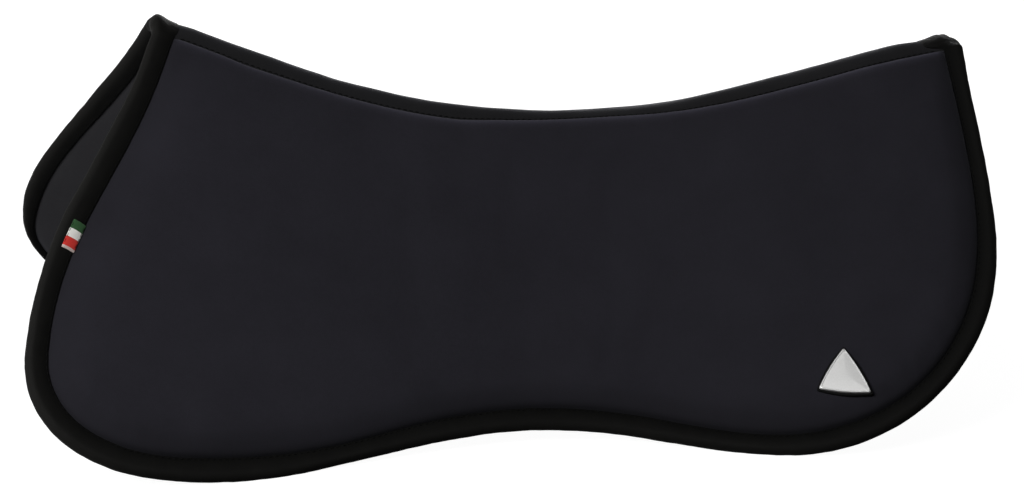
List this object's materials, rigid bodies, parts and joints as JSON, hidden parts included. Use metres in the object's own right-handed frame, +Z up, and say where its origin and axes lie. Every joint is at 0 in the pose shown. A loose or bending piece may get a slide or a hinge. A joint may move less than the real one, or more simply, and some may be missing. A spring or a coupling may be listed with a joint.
{
  "type": "saddle half pad",
  "caption": "Black padded half pad that stands as a tent: two memory-foam panels in suede cloth, bound with tape and hung from a narrow spine strip.",
  "frame": {"origin": "middle of the pad's box on the surface that the four lobes stand on", "axes": "+X towards the horse's tail, +Y towards the pad's right side, +Z up"},
  "size_m": [0.6429, 0.4008, 0.2592],
  "materials": {
    "suede": "matt brushed suede cloth, black",
    "lining_suede": "matt brushed suede cloth, black",
    "binding": "smooth folded binding tape, black, slight sheen",
    "thread": "polyester sewing thread, black",
    "foam": "open-cell memory foam, grey",
    "ribbon": "woven ribbon in green, white and red",
    "badge_metal": "satin silver metal",
    "badge_backing": "matt black backing"
  },
  "bodies": {
    "spine": {"spine_strip_top": "suede", "spine_padding": "foam", "spine_strip_lining": "lining_suede", "front_arch_binding": "binding", "rear_arch_binding": "binding", "left_spine_seam": "thread", "right_spine_seam": "thread"},
    "left_panel": {"left_outer_cover": "suede", "left_foam": "foam", "left_lining": "lining_suede", "left_edge_binding": "binding", "left_binding_thread": "thread", "woven_tab": "ribbon", "tab_stitching": "thread", "badge_backing": "badge_backing", "badge_plate": "badge_metal"},
    "right_panel": {"right_outer_cover": "suede", "right_foam": "foam", "right_lining": "lining_suede", "right_edge_binding": "binding", "right_binding_thread": "thread"}
  },
  "joints": [
    {"name": "left_panel_fold", "type": "hinge", "parent": "spine", "child": "left_panel", "pos_m": [0, -0.016, 0.20581], "axis": [0.9994, 0, -0.0357], "range_deg": [-20, 18], "deforming": ["spine_strip_top", "spine_padding", "spine_strip_lining", "front_arch_binding", "rear_arch_binding", "left_spine_seam"]},
    {"name": "right_panel_fold", "type": "hinge", "parent": "spine", "child": "right_panel", "pos_m": [0, 0.016, 0.20581], "axis": [-0.9994, 0, 0.0357], "range_deg": [-20, 18], "deforming": ["right_spine_seam"]}
  ]
}
